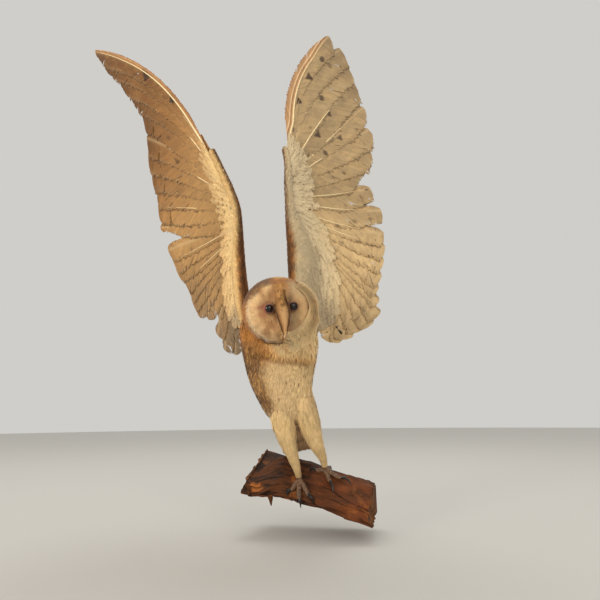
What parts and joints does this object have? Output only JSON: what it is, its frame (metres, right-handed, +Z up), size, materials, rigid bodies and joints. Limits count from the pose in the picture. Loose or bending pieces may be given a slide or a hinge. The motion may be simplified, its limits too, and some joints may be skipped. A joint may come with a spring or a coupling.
{
  "type": "taxidermy barn owl",
  "caption": "Mounted barn owl in flight pose, wings raised, standing on a short weathered log with a flat back that is fixed to a wall.",
  "frame": {"origin": "near the middle of the log's flat back face, on the wall plane", "axes": "+Y goes into the wall and is square to the log's flat back, +Z is up, +X is to the right when facing the wall, so the owl stands out towards -Y. The owl's left wing is on +X."},
  "size_m": [0.364, 0.2133, 0.6783],
  "materials": {
    "log_wood": "weathered split wood, dry",
    "eye": "polished dark glass",
    "bill": "pale horn",
    "claw": "dark horn, slight shine",
    "foot_skin": "dry scaled skin with sparse bristles",
    "face_feathers": "fine soft feathers",
    "body_feathers": "soft overlapping feathers, cream below and golden at the breast",
    "flight_feathers": "stiff vaned feathers with faint dark bars",
    "wing_coverts": "small overlapping feathers"
  },
  "bodies": {
    "root": {"base_log": "log_wood", "head": "face_feathers", "eye_l": "eye", "eye_r": "eye", "bill_upper": "bill", "bill_lower": "bill", "neck": "body_feathers", "trunk": "body_feathers", "leg_r": "body_feathers", "leg_l": "body_feathers", "foot_r": "foot_skin", "claw_r_1": "claw", "claw_r_2": "claw", "claw_r_3": "claw", "claw_r_4": "claw", "foot_l": "foot_skin", "claw_l_1": "claw", "claw_l_2": "claw", "claw_l_3": "claw", "claw_l_4": "claw", "tail": "flight_feathers", "wing_l_hand": "wing_coverts", "wing_l_forearm": "wing_coverts", "wing_l_upper_arm": "wing_coverts", "wing_l_primaries": "flight_feathers", "wing_l_secondaries": "flight_feathers", "wing_l_tertials": "flight_feathers", "wing_r_hand": "wing_coverts", "wing_r_forearm": "wing_coverts", "wing_r_upper_arm": "wing_coverts", "wing_r_primaries": "flight_feathers", "wing_r_secondaries": "flight_feathers", "wing_r_tertials": "flight_feathers"}
  },
  "joints": []
}
